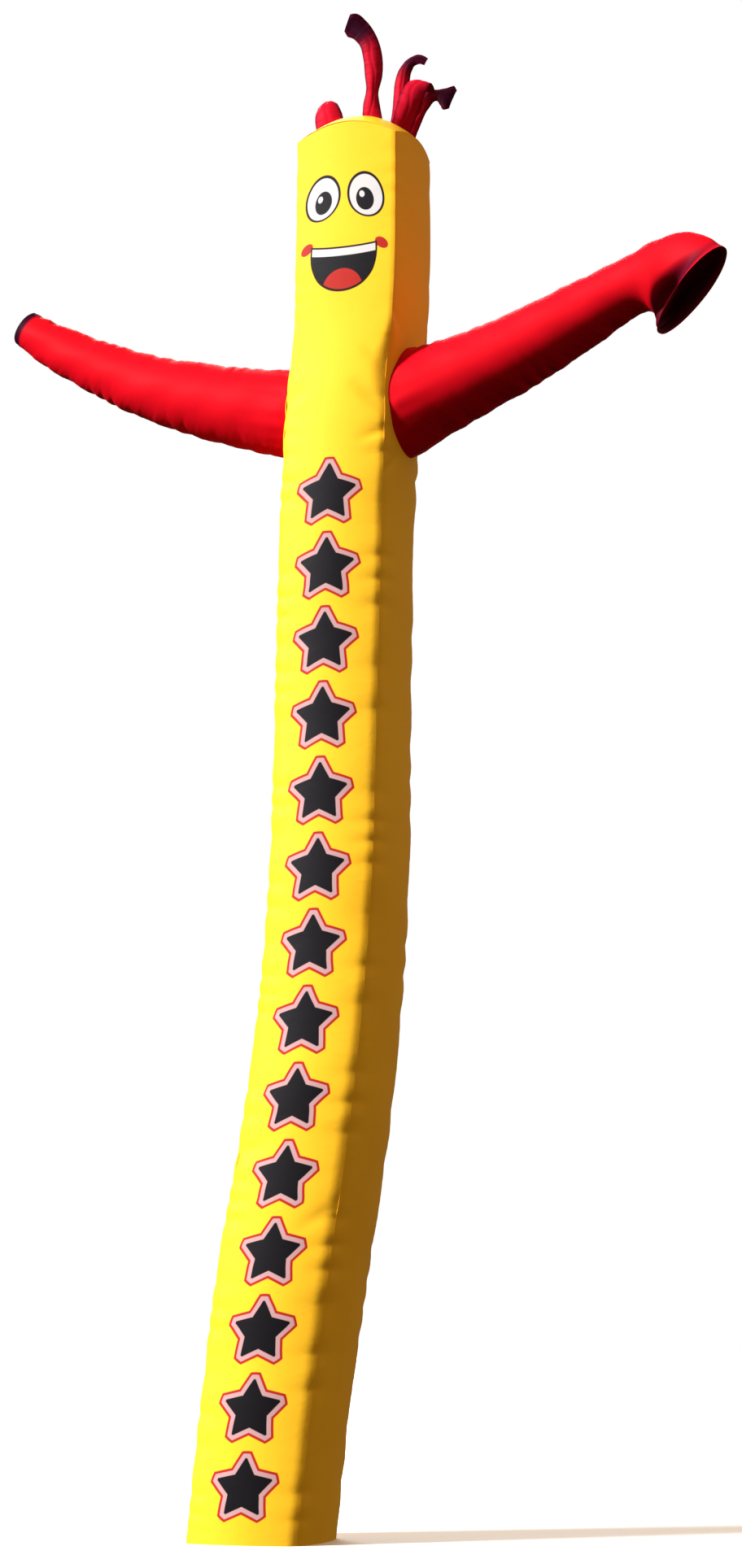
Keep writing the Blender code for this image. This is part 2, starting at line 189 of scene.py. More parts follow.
# Creases on a panel: from and to, each as place across from the panel's middle
# and height, then depth and half width
CREASES = {
    FRONT: [
        (0.200, 3.920,  0.080, 4.020,  0.0090, 0.022),
        (0.205, 3.860,  0.110, 3.830,  0.0060, 0.018),
        (0.200, 4.060,  0.100, 4.150,  0.0050, 0.020),
        (-0.205, 3.960, -0.120, 4.020, 0.0060, 0.020),
        (-0.205, 3.880, -0.130, 3.850, 0.0045, 0.018),
        (-0.200, 1.300, -0.060, 1.380, 0.0035, 0.030),
        (0.200, 1.150,  0.080, 1.060,  0.0035, 0.026),
    ],
    RIGHT: [
        (-0.200, 3.700, -0.100, 3.780, 0.0060, 0.020),
        (0.200, 3.700,  0.110, 3.790,  0.0060, 0.020),
        (-0.200, 4.300, -0.110, 4.230, 0.0050, 0.020),
        (0.200, 4.280,  0.110, 4.220,  0.0050, 0.020),
    ],
    BACK: [
        (0.205, 3.940,  0.100, 4.020,  0.0070, 0.022),
        (-0.205, 3.940, -0.100, 3.860, 0.0070, 0.022),
        (-0.200, 1.250,  0.020, 1.330, 0.0035, 0.030),
    ],
    LEFT: [
        (-0.200, 3.720, -0.100, 3.800, 0.0055, 0.020),
        (0.200, 3.720,  0.100, 3.800,  0.0055, 0.020),
        (0.200, 4.240,  0.120, 4.180,  0.0045, 0.020),
    ],
}


def smooth(at, table, column):
    """Reads a table's column at the places `at`: cubic Hermite pieces, each row's slope being
    that between its neighbours."""
    stations = table[:, 0]
    values = table[:, column]
    slopes = np.gradient(values, stations)
    at = np.clip(at, stations[0], stations[-1])
    low = np.clip(np.searchsorted(stations, at, side="right") - 1, 0, len(stations) - 2)
    span = stations[low + 1] - stations[low]
    t = (at - stations[low]) / span
    return ((1 + 2 * t) * (1 - t) ** 2 * values[low] + t * (1 - t) ** 2 * span * slopes[low]
            + t ** 2 * (3 - 2 * t) * values[low + 1] + t ** 2 * (t - 1) * span * slopes[low + 1])


def drift(at, spacing, seed):
    """A slow uneven wave between about -1 and 1: three sines of near periods, added."""
    phases = np.random.default_rng(seed).uniform(0, 2 * np.pi, 3)
    shares = (1.0, 0.62, 1.7)
    return sum(np.sin(2 * np.pi * at / spacing * k + p) for k, p in zip(shares, phases)) / 3


def scallops(at, spacing, seed):
    """Rounded waves with sharp dips, 0 to 1, as cloth has between pulled stitches: the size of
    a sine whose phase drifts, so that no two waves are as long."""
    return np.abs(np.sin(np.pi * (at / spacing + 0.9 * drift(at, 5.3 * spacing, seed))))


def crease(across, along, line):
    """A soft trough along a line: depth * exp(-(distance / width)^2), fading to its ends."""
    x0, z0, x1, z1, depth, width = line
    length = np.hypot(x1 - x0, z1 - z0)
    share = np.clip(((across - x0) * (x1 - x0) + (along - z0) * (z1 - z0)) / length ** 2, 0, 1)
    away = np.hypot(across - x0 - share * (x1 - x0), along - z0 - share * (z1 - z0))
    return -depth * np.exp(-(away / width) ** 2) * (1 - 0.75 * share ** 2)


def half_width(height):
    """Half of a panel's width before its corners are rounded, the share of a corner's round
    that it takes off that half, and the angle over which the round turns."""
    angle = np.pi / 4 - np.arctan(2 * smooth(height, TUBE, 3))
    loss = 1 - np.cos(angle)
    return smooth(height, TUBE, 2) + ROUND_SHARE * smooth(height, TUBE, 5) * loss, loss, angle


def panel_profile(share, height, quarter=None):
    """A panel's place across and out at a share of its half width: an arc of swell
    swell * (1 - share^2), turned in near the seam by a round so that the two panels meet flush.
    The right sleeve pulls the corner beside it into a wider round."""
    half, loss, swell_angle = half_width(height)
    radius = smooth(height, TUBE, 5)
    if quarter in (FRONT, RIGHT):
        middle, spread, added = PULLED_CORNER
        beside = share > 0 if quarter == FRONT else share < 0
        radius = radius + beside * added * np.exp(-((height - middle) / spread) ** 2)
    edge = half - radius * loss
    reach = radius * np.sin(swell_angle)
    inside = np.clip(np.abs(share) * edge - (edge - reach), 0, reach)
    drop = radius - np.sqrt(radius ** 2 - inside ** 2)
    return edge * share, half * (1 + smooth(height, TUBE, 3) * (1 - share ** 2)) - drop, edge


def in_tube(quarter, across, out, height):
    """World points from a panel's own: across to its right, out from the tube's middle."""
    angle = quarter * np.pi / 2 + np.radians(smooth(height, TUBE, 4))
    x = smooth(height, TUBE, 1) + across * np.cos(angle) + out * np.sin(angle)
    y = across * np.sin(angle) - out * np.cos(angle)
    return np.stack([x, y, height + 0 * across], -1)


def panel_points(quarter, share, level):
    """Points of a panel's outer face: its profile, then the seams' scallops, puckers that rise
    and fall within a few centimetres of a seam, and its creases."""
    height = level * (1 + ARCHES[quarter % 2] * (1 - share ** 2) / CORNER_HEIGHT)
    across, out, edge = panel_profile(share, height, quarter)
    top, fade, least = FIRM_HEAD
    firm = np.clip((top - height) / fade, least, 1) * np.clip(height / FIRM_MOUTH[0], FIRM_MOUTH[1], 1)
    for side, corner in ((1, quarter), (-1, (quarter - 1) % 4)):
        spacing, depth, pucker = PUCKERS[corner]
        gap = edge - side * across
        near = np.exp(-gap / SEAM_REACH)
        seam = depth * (scallops(height, spacing, 10 + corner) - 0.75) * firm
        across = across + side * seam * near
        out = out + seam * near
        rise = gap / PUCKER_REACH * np.exp(1 - gap / PUCKER_REACH)
        waves = scallops(height + 0.25 * gap, spacing, 10 + corner) - 0.5
        fine = drift(height - 0.5 * gap, 0.047, 20 + corner + 7 * quarter)
        out = out + pucker * rise * (waves + 0.5 * fine) * firm
    out = out + SLACK[0] * drift(height + 0.3 * across, SLACK[1], 40 + quarter) * (1 - share ** 2)
    for line in CREASES[quarter]:
        out = out + crease(across, height, line)
    return in_tube(quarter, across, out, height)


def store_on_points(mesh, key, values):
    """Stores a number for each of a mesh's points as an attribute for its cloth's looks."""
    store = mesh.attributes.new(key, "FLOAT", "POINT")
    store.data.foreach_set("value", values.astype(np.float32).ravel())


def grid_mesh(name, points, keep=None):
    """A mesh over a grid of points, rows by columns, with a UV map in metres along its two ways,
    and as attributes the distance to its nearest long edge, "seam", and that from its first row,
    "along". keep says which faces stay. The edges round it are sharp, so that its cloth's
    thickness doesn't shade its faces."""
    rows, columns = points.shape[:2]
    index = np.arange(rows * columns).reshape(rows, columns)
    faces = np.stack([index[:-1, :-1], index[:-1, 1:], index[1:, 1:], index[1:, :-1]], -1)
    faces = faces[keep] if keep is not None else faces.reshape(-1, 4)
    used, faces = np.unique(faces, return_inverse=True)
    faces = faces.reshape(-1, 4)
    mesh = bpy.data.meshes.new(name)
    mesh.from_pydata(points.reshape(-1, 3)[used].tolist(), [], faces.tolist())
    steps = np.linalg.norm(np.diff(points, axis=1), axis=2)
    across = np.concatenate([np.zeros((rows, 1)), np.cumsum(steps, axis=1)], axis=1)
    seam = np.minimum(across, across[:, -1:] - across)
    rises = np.linalg.norm(np.diff(points, axis=0), axis=2)
    along = np.concatenate([np.zeros((1, columns)), np.cumsum(rises, axis=0)], axis=0)
    along = np.broadcast_to(along.mean(axis=1, keepdims=True), along.shape)
    flat = np.stack([across - across[:, -1:] / 2, along], -1).reshape(-1, 2)[used]
    layer = mesh.uv_layers.new(name="cloth")
    corners = np.zeros(len(mesh.loops), dtype=np.int32)
    mesh.loops.foreach_get("vertex_index", corners)
    layer.data.foreach_set("uv", flat[corners].astype(np.float32).ravel())
    store_on_points(mesh, "seam", seam.reshape(-1)[used])
    store_on_points(mesh, "along", along.reshape(-1)[used])
    mesh.shade_smooth()
    sides = np.zeros(len(mesh.loops), dtype=np.int32)
    mesh.loops.foreach_get("edge_index", sides)
    rim = np.bincount(sides, minlength=len(mesh.edges)) == 1
    mesh.attributes.new("sharp_edge", "BOOLEAN", "EDGE").data.foreach_set("value", rim)
    return mesh


def sheet_piece(name, mesh, materials):
    """Gives a mesh its cloth's thickness, with one material outside and one inside, attaches it to
    the root body and hides the imported part of the same name."""
    for material in materials:
        mesh.materials.append(material)
    piece = add_object(name, mesh)
    solid = piece.modifiers.new("cloth", "SOLIDIFY")
    solid.thickness = CLOTH
    solid.offset = -1.0
    solid.use_rim = True
    solid.material_offset = 1
    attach(piece, "root")
    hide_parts(name)


def group(name, vectors, numbers, outputs):
    """An empty shader node group with named inputs; its outputs are numbers."""
    tree = bpy.data.node_groups.new(name, "ShaderNodeTree")
    for sockets, way, kind in ((vectors, "INPUT", "Vector"), (numbers, "INPUT", "Float"),
                               (outputs, "OUTPUT", "Float")):
        for socket in sockets:
            tree.interface.new_socket(socket, in_out=way, socket_type="NodeSocket" + kind)
    return tree, tree.nodes.new("NodeGroupInput"), tree.nodes.new("NodeGroupOutput")


def placed(tree, which, **links):
    """A node of one of these groups, with links to its inputs."""
    node = tree.nodes.new("ShaderNodeGroup")
    node.node_tree = which
    for socket, source in links.items():
        tree.links.new(source, node.inputs[socket])
    return node


def maths(tree, operation, first, second=None, third=None):
    """A Math node on up to three numbers or sockets; returns its output."""
    node = tree.nodes.new("ShaderNodeMath")
    node.operation = operation
    for place, value in enumerate((first, second, third)):
        if value is None:
            continue
        if isinstance(value, (int, float)):
            node.inputs[place].default_value = value
        else:
            tree.links.new(value, node.inputs[place])
    return node.outputs[0]


def between(tree, value, low, high, start=0.0, end=1.0):
    """A smooth Map Range node from low and high to start and end."""
    node = tree.nodes.new("ShaderNodeMapRange")
    node.interpolation_type = "SMOOTHSTEP"
    tree.links.new(value, node.inputs["Value"])
    for socket, number in (("From Min", low), ("From Max", high), ("To Min", start), ("To Max", end)):
        node.inputs[socket].default_value = number
    return node.outputs["Result"]


def parts_of(tree, vector):
    """The X and Y of a vector socket."""
    split = tree.nodes.new("ShaderNodeSeparateXYZ")
    tree.links.new(vector, split.inputs[0])
    return split.outputs["X"], split.outputs["Y"]


def stored(tree, key):
    """A number that store_on_points left on the mesh."""
    node = tree.nodes.new("ShaderNodeAttribute")
    node.attribute_name = key
    return node.outputs["Fac"]


def noise(tree, place, scale, detail, distortion):
    """A Noise Texture node; returns its number."""
    node = tree.nodes.new("ShaderNodeTexNoise")
    for socket, value in (("Scale", scale), ("Detail", detail), ("Distortion", distortion)):
        node.inputs[socket].default_value = value
    tree.links.new(place, node.inputs["Vector"])
    return node.outputs["Fac"]


THREAD_PITCH = 0.0009  # between two threads of the weave
RIPSTOP_PITCH = 0.0054  # between two thicker threads
RIPSTOP_WIDTH = 0.0007  # from such a thread's middle
WEAVE_RELIEF = 0.00005
STITCH_PITCH = 0.0036
STITCH_GAP = (0.0003, 0.0007)  # from its middle, to where a dash starts and is full
STITCH_WIDTH = (0.0003, 0.0008)  # from a row's middle, to where it is full and ends
STITCH_ROWS = (0.0045, 0.0125)  # from the seam
STITCH_RELIEF = 0.0002
GROOVE_WIDTH = 0.0030  # from a row's middle
GROOVE_RELIEF = -0.0001
WRINKLE_SCALE = (9.0, 9.0, 17.0)
WRINKLE_FADE = (0.12, 0.35)  # they are full at a seam and fade over this to this share
DYE_SCALE = 2.6
ROUGHNESS = 0.55


def weave_group():
    """Plain weave with a thicker thread now and then. Height: the higher of two families of
    round threads, sin^2 of the place across each, each family dipping where the other rises."""
    tree, given, made = group("nylon_weave", ["Cloth"], [], ["Height"])
    x, y = parts_of(tree, given.outputs["Cloth"])
    ways = []
    thick = []
    for way, other in ((x, y), (y, x)):
        place = maths(tree, "MULTIPLY", way, np.pi / THREAD_PITCH)
        cross = maths(tree, "MULTIPLY", other, np.pi / THREAD_PITCH)
        thread = maths(tree, "POWER", maths(tree, "SINE", place), 2.0)
        dip = maths(tree, "MULTIPLY_ADD", maths(tree, "COSINE", cross), 0.25, 0.75)
        ways.append(maths(tree, "MULTIPLY", thread, dip))
        line = maths(tree, "PINGPONG", way, RIPSTOP_PITCH / 2)
        thick.append(between(tree, line, 0.0, RIPSTOP_WIDTH, 1.0, 0.0))
    weave = maths(tree, "MAXIMUM", *ways)
    rip = maths(tree, "MAXIMUM", *thick)
    tree.links.new(maths(tree, "MULTIPLY_ADD", rip, 0.6, weave), made.inputs["Height"])
    return tree


def stitch_group():
    """Two rows of stitches along a seam. Mask: short dashes along each row, and Groove: the
    narrow trough that a row pulls into the cloth."""
    tree, given, made = group("seam_stitches", [], ["Seam", "Along"], ["Mask", "Groove"])
    dash = maths(tree, "PINGPONG", given.outputs["Along"], STITCH_PITCH / 2)
    dash = between(tree, dash, *STITCH_GAP)
    rows = []
    grooves = []
    for place in STITCH_ROWS:
        away = maths(tree, "ABSOLUTE", maths(tree, "SUBTRACT", given.outputs["Seam"], place))
        rows.append(between(tree, away, *STITCH_WIDTH, 1.0, 0.0))
        grooves.append(between(tree, away, 0.0, GROOVE_WIDTH, 1.0, 0.0))
    mask = maths(tree, "MULTIPLY", maths(tree, "MAXIMUM", *rows), dash)
    tree.links.new(mask, made.inputs["Mask"])
    tree.links.new(maths(tree, "MAXIMUM", *grooves), made.inputs["Groove"])
    return tree


def wrinkle_group():
    """Small wrinkles of blown-up cloth, drawn out along it, and slow changes of its dye."""
    tree, given, made = group("cloth_wrinkles", ["Place"], ["Seam"], ["Height", "Dye"])
    stretch = tree.nodes.new("ShaderNodeMapping")
    stretch.inputs["Scale"].default_value = WRINKLE_SCALE
    tree.links.new(given.outputs["Place"], stretch.inputs["Vector"])
    folds = noise(tree, stretch.outputs[0], 1.0, 3.0, 0.8)
    dye = noise(tree, given.outputs["Place"], DYE_SCALE, 4.0, 0.0)
    near = between(tree, given.outputs["Seam"], 0.0, WRINKLE_FADE[0], 1.0, WRINKLE_FADE[1])
    tree.links.new(maths(tree, "MULTIPLY", folds, near), made.inputs["Height"])
    tree.links.new(dye, made.inputs["Dye"])
    return tree


WEAVE = weave_group()
STITCHES = stitch_group()
WRINKLES = wrinkle_group()


def mixed(tree, share, first, second):
    """A colour Mix node; each colour is a tuple or a socket."""
    node = tree.nodes.new("ShaderNodeMix")
    node.data_type = "RGBA"
    tree.links.new(share, node.inputs["Factor"])
    for place, colour in ((6, first), (7, second)):
        if isinstance(colour, tuple):
            node.inputs[place].default_value = (*colour, 1.0)
        else:
            tree.links.new(colour, node.inputs[place])
    return node.outputs[2]


def cloth_material(name, colour, deep, thread, paint=None, wrinkle=0.0016, gloss=0.10):
    """Nylon: its dye between colour and deep, stitches of thread along the seams, the weave's
    and the wrinkles' relief. paint, if given, lays a print or a darker colour over it, on the
    sleeves partly painted shade."""
    material = bpy.data.materials.new(name)
    material.use_nodes = True
    tree = material.node_tree
    shader = tree.nodes["Principled BSDF"]
    link = tree.links.new
    place = tree.nodes.new("ShaderNodeTexCoord")
    cloth = tree.nodes.new("ShaderNodeUVMap")
    cloth.uv_map = "cloth"
    seam = stored(tree, "seam")
    weave = placed(tree, WEAVE, Cloth=cloth.outputs[0])
    stitches = placed(tree, STITCHES, Seam=seam, Along=stored(tree, "along"))
    wrinkles = placed(tree, WRINKLES, Place=place.outputs["Object"], Seam=seam)
    dye = between(tree, wrinkles.outputs["Dye"], 0.3, 0.75)
    base = mixed(tree, dye, colour, deep)
    if paint is not None:
        base = paint(tree, cloth.outputs[0], base)
    base = mixed(tree, maths(tree, "MULTIPLY", stitches.outputs["Mask"], 0.8), base, thread)
    link(base, shader.inputs["Base Color"])
    shader.inputs["Roughness"].default_value = ROUGHNESS
    shader.inputs["Specular IOR Level"].default_value = gloss
    relief = 0.0
    for which, socket, height in ((weave, "Height", WEAVE_RELIEF), (stitches, "Mask", STITCH_RELIEF),
                                  (stitches, "Groove", GROOVE_RELIEF), (wrinkles, "Height", wrinkle)):
        relief = maths(tree, "MULTIPLY_ADD", which.outputs[socket], height, relief)
    bump = tree.nodes.new("ShaderNodeBump")
    bump.inputs["Strength"].default_value = 1.0
    bump.inputs["Distance"].default_value = 1.0
    link(relief, bump.inputs["Height"])
    link(bump.outputs[0], shader.inputs["Normal"])
    return material


YELLOW = (1.0, 0.56, 0.022)
DEEP_YELLOW = (0.97, 0.52, 0.018)
YELLOW_THREAD = (0.90, 0.44, 0.014)
yellow_cloth = cloth_material("yellow_cloth", YELLOW, DEEP_YELLOW, YELLOW_THREAD)
# The tube's inside faces: a darker copy of the yellow cloth, painted shade.
shaded_yellow_inside = cloth_material("shaded_yellow_inside", (0.80, 0.38, 0.014), (0.72, 0.32, 0.010), YELLOW_THREAD)

BLACK = (0.004, 0.003, 0.005)
WHITE = (0.62, 0.60, 0.60)
PALE_PINK = (0.52, 0.30, 0.31)
PRINT_RED = (0.42, 0.018, 0.012)
PRINT_EDGE = 0.0015  # softness of a print's edge

# The printed face's pairs of ovals, from the lowest ink to the highest: how far each is from the
# middle, how far both are moved across, place along the cloth, half width, half height, ink
FACE = (
    # apart  moved  along   wide    tall    ink
    (0.084,  0.0,   4.740,  0.072,  0.084,  BLACK),
    (0.084,  0.0,   4.738,  0.063,  0.075,  WHITE),
    (0.080,  0.0,   4.722,  0.034,  0.042,  BLACK),
    (0.080, -0.012, 4.738,  0.010,  0.012,  WHITE),
    (0.146,  0.0,   4.575,  0.026,  0.020,  PRINT_RED),
)
MOUTH = (0.0, 4.545, 0.130, 0.165)  # the lower half of an oval: across, along, wide, tall
TONGUE = (0.0, 4.402, 0.076, 0.062)
TEETH = 0.034  # height of the white band under the mouth's upper edge
SMILE = 1.9  # how fast the upper edge rises from its middle, per metre
LIP = 0.007  # black left round the teeth and the tongue

# The column of printed stars
STAR_FIRST = 0.190  # along the cloth, to the lowest star's middle
STAR_PITCH = 0.266
STAR_COUNT = 14
STAR_TIP = 0.110
STAR_BLUNT = 0.006  # cut off each point
STAR_WAIST = 0.060  # from the middle to the valley between two points
STAR_OUTLINES = (0.015, 0.024)  # outer edges of the pale and of the red outline


def oval_group():
    """Distance to an oval's edge, below 0 inside, in metres near the edge.
    Away = (length((cloth - centre) / size) - 1) * the smaller half."""
    tree, given, made = group("print_oval", ["Cloth", "Centre", "Size"], [], ["Away"])
    share = given.outputs["Cloth"]
    for operation, other in (("SUBTRACT", "Centre"), ("DIVIDE", "Size")):
        node = tree.nodes.new("ShaderNodeVectorMath")
        node.operation = operation
        tree.links.new(share, node.inputs[0])
        tree.links.new(given.outputs[other], node.inputs[1])
        share = node.outputs[0]
    far = tree.nodes.new("ShaderNodeVectorMath")
    far.operation = "LENGTH"
    tree.links.new(share, far.inputs[0])
    least = maths(tree, "MINIMUM", *parts_of(tree, given.outputs["Size"]))
    away = maths(tree, "MULTIPLY", maths(tree, "SUBTRACT", far.outputs["Value"], 1.0), least)
    tree.links.new(away, made.inputs["Away"])
    return tree


def star_group():
    """Distance to a five-pointed star's edge, below 0 inside. The angle is folded into half of
    a point, where the edge is one straight line from the tip to the valley."""
    tree, given, made = group("print_star", [], ["Across", "Along"], ["Away"])
    valley = np.array((np.cos(np.pi / 5), np.sin(np.pi / 5))) * STAR_WAIST
    slope = valley - (STAR_TIP, 0.0)
    normal = np.array((-slope[1], slope[0])) / np.hypot(*slope)
    normal *= -np.sign(normal @ (-valley))
    angle = maths(tree, "ARCTAN2", given.outputs["Across"], given.outputs["Along"])
    angle = maths(tree, "PINGPONG", angle, np.pi / 5)
    square = maths(tree, "MULTIPLY", given.outputs["Across"], given.outputs["Across"])
    square = maths(tree, "MULTIPLY_ADD", given.outputs["Along"], given.outputs["Along"], square)
    far = maths(tree, "SQRT", square)
    x = maths(tree, "MULTIPLY", far, maths(tree, "COSINE", angle))
    y = maths(tree, "MULTIPLY", far, maths(tree, "SINE", angle))
    line = maths(tree, "MULTIPLY_ADD", x, float(normal[0]), float(-normal[0] * STAR_TIP))
    line = maths(tree, "MULTIPLY_ADD", y, float(normal[1]), line)
    blunt = maths(tree, "SUBTRACT", far, STAR_TIP - STAR_BLUNT)
    tree.links.new(maths(tree, "MAXIMUM", line, blunt), made.inputs["Away"])
    return tree


OVAL = oval_group()
STAR = star_group()


def inked(tree, away, ink, base, limit=0.0):
    """Lays an ink over a base colour where a distance is under a limit."""
    mask = between(tree, away, limit - PRINT_EDGE, limit + PRINT_EDGE, 1.0, 0.0)
    return mixed(tree, mask, base, ink)


def oval(tree, cloth, across, along, wide, tall):
    """Distance to an oval's edge, from its own group."""
    node = placed(tree, OVAL, Cloth=cloth)
    node.inputs["Centre"].default_value = (across, along, 0.0)
    node.inputs["Size"].default_value = (wide, tall, 1.0)
    return node.outputs["Away"]


def front_print(tree, cloth, base):
    """The face on the head and the column of stars down the body."""
    across, along = parts_of(tree, cloth)
    above = maths(tree, "SUBTRACT", along, STAR_FIRST)
    row = maths(tree, "ROUND", maths(tree, "DIVIDE", above, STAR_PITCH))
    row = maths(tree, "MINIMUM", maths(tree, "MAXIMUM", row, 0.0), STAR_COUNT - 1)
    beside = maths(tree, "SUBTRACT", above, maths(tree, "MULTIPLY", row, STAR_PITCH))
    star = placed(tree, STAR, Across=across, Along=beside)
    for limit, ink in ((STAR_OUTLINES[1], PRINT_RED), (STAR_OUTLINES[0], PALE_PINK), (0.0, BLACK)):
        base = inked(tree, star.outputs["Away"], ink, base, limit)
    for apart, moved, height, wide, tall, ink in FACE:
        for middle in (moved - apart, moved + apart):
            base = inked(tree, oval(tree, cloth, middle, height, wide, tall), ink, base)
    edge = maths(tree, "MULTIPLY", maths(tree, "MULTIPLY", across, across), SMILE)
    under = maths(tree, "SUBTRACT", maths(tree, "SUBTRACT", along, MOUTH[1]), edge)
    mouth = maths(tree, "MAXIMUM", oval(tree, cloth, *MOUTH), under)
    base = inked(tree, mouth, BLACK, base)
    inner = maths(tree, "ADD", mouth, LIP)
    tongue = maths(tree, "MAXIMUM", oval(tree, cloth, *TONGUE), inner)
    base = inked(tree, tongue, PRINT_RED, base)
    band = maths(tree, "MULTIPLY", maths(tree, "ADD", under, TEETH), -1.0)
    teeth = maths(tree, "MAXIMUM", inner, band)
    return inked(tree, teeth, WHITE, base)


printed_cloth = cloth_material("printed_cloth", YELLOW, DEEP_YELLOW, YELLOW_THREAD, front_print)


# The sleeves' holes: place across and height of the middle, half width and half height
HOLES = {RIGHT: (-0.005, 3.995, 0.149, 0.178), LEFT: (0.005, 3.990, 0.142, 0.146)}


def cut_hole(share, level, quarter):
    """Pulls the grid's points that are just inside a hole out to its edge, an ellipse, and
    returns which faces to keep."""
    across, height, wide, tall = HOLES[quarter]
    half = half_width(height)[0]
    arch = 1 + ARCHES[quarter % 2] * (1 - share ** 2) / CORNER_HEIGHT
    x = (share * half - across) / wide
    z = (level * arch - height) / tall
    away = np.hypot(x, z)
    inside = away < 1
    stretch = np.where(inside, 1 / np.maximum(away, 0.3), 1)
    near = np.zeros_like(inside)
    padded = np.pad(~inside, 1, constant_values=True)
    for row in (0, 1, 2):
        for column in (0, 1, 2):
            near |= padded[row:row + inside.shape[0], column:column + inside.shape[1]]
    edge = inside & near
    share = np.where(edge, (x * stretch * wide + across) / half, share)
    level = np.where(edge, (z * stretch * tall + height) / arch, level)
    gone = inside[:-1, :-1] & inside[:-1, 1:] & inside[1:, 1:] & inside[1:, :-1]
    return share, level, ~gone


def make_panel(name, quarter, material):
    """One panel from the mouth to the crown."""
    share, level = np.meshgrid(np.linspace(-1, 1, PANEL_COLUMNS + 1),
                               np.linspace(0, CORNER_HEIGHT, PANEL_ROWS + 1))
    keep = None
    if quarter in HOLES:
        share, level, keep = cut_hole(share, level, quarter)
    mesh = grid_mesh(name, panel_points(quarter, share, level), keep)
    sheet_piece(name, mesh, [material, shaded_yellow_inside])


make_panel("panel_front", FRONT, printed_cloth)
make_panel("panel_right", RIGHT, yellow_cloth)
make_panel("panel_back", BACK, yellow_cloth)
make_panel("panel_left", LEFT, yellow_cloth)


# ------------------------------
# The crown. A square of the same yellow nylon sewn to the panels' arched tops, which the air
# bulges into a low dome.

CROWN_STEPS = 60


def crown_height(u, v):
    """The crown's height at shares u and v of its half width: the panels' arches, and a dome
    of DOME * (1 - u^2) * (1 - v^2)."""
    arches = ARCHES[0] * (1 - u ** 2) + ARCHES[1] * (1 - v ** 2)
    return CORNER_HEIGHT + arches + DOME * (1 - u ** 2) * (1 - v ** 2)


def crown_points():
    """A square over the four top edges: at shares u and v of the half width, x = u * out(v) and
    y = v * out(u), where out is a panel's profile at the top."""
    u = np.linspace(-1, 1, CROWN_STEPS + 1)[None, :]
    v = np.linspace(-1, 1, CROWN_STEPS + 1)[:, None]
    top = np.full_like(u, CORNER_HEIGHT)
    across = panel_profile(u, top)[1]
    deep = panel_profile(v, np.full_like(v, CORNER_HEIGHT))[1]
    x = smooth(CORNER_HEIGHT, TUBE, 1) + u * deep
    return np.stack([x, v * across, crown_height(u, v)], -1)


sheet_piece("crown", grid_mesh("crown", crown_points()), [yellow_cloth, shaded_yellow_inside])


# ------------------------------
# The arms. Each is a tapered sleeve of red nylon in two halves, front and back, sewn together
# along its top and its underside and round the hole in the side panel. The air leaves at its
# open end: the left one curves up, the right one's flat hand droops.

# Stations along a sleeve, as in the solids: distance from the seam, degrees forward of straight
# out and up from level, half height and half depth of the section
ARM_LEFT = np.array([
    # along  forward  rise   tall    deep
    (0.00,    0.0,     9.0,  0.160,  0.158),
    (0.20,    0.0,    13.5,  0.147,  0.146),
    (0.46,    0.0,    18.0,  0.128,  0.127),
    (0.72,    0.0,    24.0,  0.107,  0.106),
    (0.97,    0.0,    29.5,  0.087,  0.086),
    (1.18,    0.0,    34.5,  0.069,  0.069),
])
ARM_RIGHT = np.array([
    (0.000,   0.0,    19.5,  0.184,  0.165),
    (0.125,   0.0,    19.5,  0.163,  0.155),
    (0.335,   0.5,    21.5,  0.143,  0.141),
    (0.655,   2.0,    24.5,  0.121,  0.120),
    (0.845,   5.0,    22.0,  0.104,  0.102),
    (0.937,   8.0,    13.0,  0.108,  0.096),
    (1.008,  12.0,    -6.0,  0.142,  0.088),
    (1.080,  17.0,   -29.0,  0.173,  0.074),
    (1.121,  19.0,   -39.0,  0.182,  0.072),
    (1.156,  21.0,   -47.0,  0.184,  0.080),
])
ARM_RINGS = 230
ARM_COLUMNS = 44
ARM_SEAM_HEIGHT = {LEFT: 3.990, RIGHT: 3.995}
ARM_SEAM_FORWARD = 0.005  # how far in front of the side panel's middle the sleeve starts
ARM_TURN = 0.30  # length over which the rings turn from the panel to square
ROOT_GAP = 0.0006  # from the panel in to the root
ROOT_FADE = 0.05
ARM_RADIUS = 0.11  # a mean one, which turns an angle into a distance
ARM_SEAM = (0.0050, 0.095, 0.035)  # the long seams: depth, spacing and reach of their waves
ARM_PUCKERS = (0.0026, 0.022)  # height, and distance from the seam to their top
ARM_GATHERS = (0.0045, 0.07, 0.012)  # folds round the root: height, length, rise
ARM_SLACK = (0.0025, 0.31)  # slow waves along a sleeve: height and spacing

# The fold behind the right hand's rim. Turns are radians up from the hand's front.
HAND_FOLD = 0.055  # depth where it is deepest
FOLD_TURN = (-0.4, 0.65)  # the turn where it is deepest, and how far round it reaches
FOLD_TOP = 0.75  # below this turn it runs further back and widens
FOLD_BACK = (0.018, 0.034)  # distance behind the rim, and what a radian adds to it
FOLD_WIDTH = (0.014, 0.022)  # half width, and what a radian adds
FOLD_RIM = 0.012  # width of the rim, over which the fold starts
HEM_ROLL = (0.005, 0.010)  # the hand's rolled rim: height, width


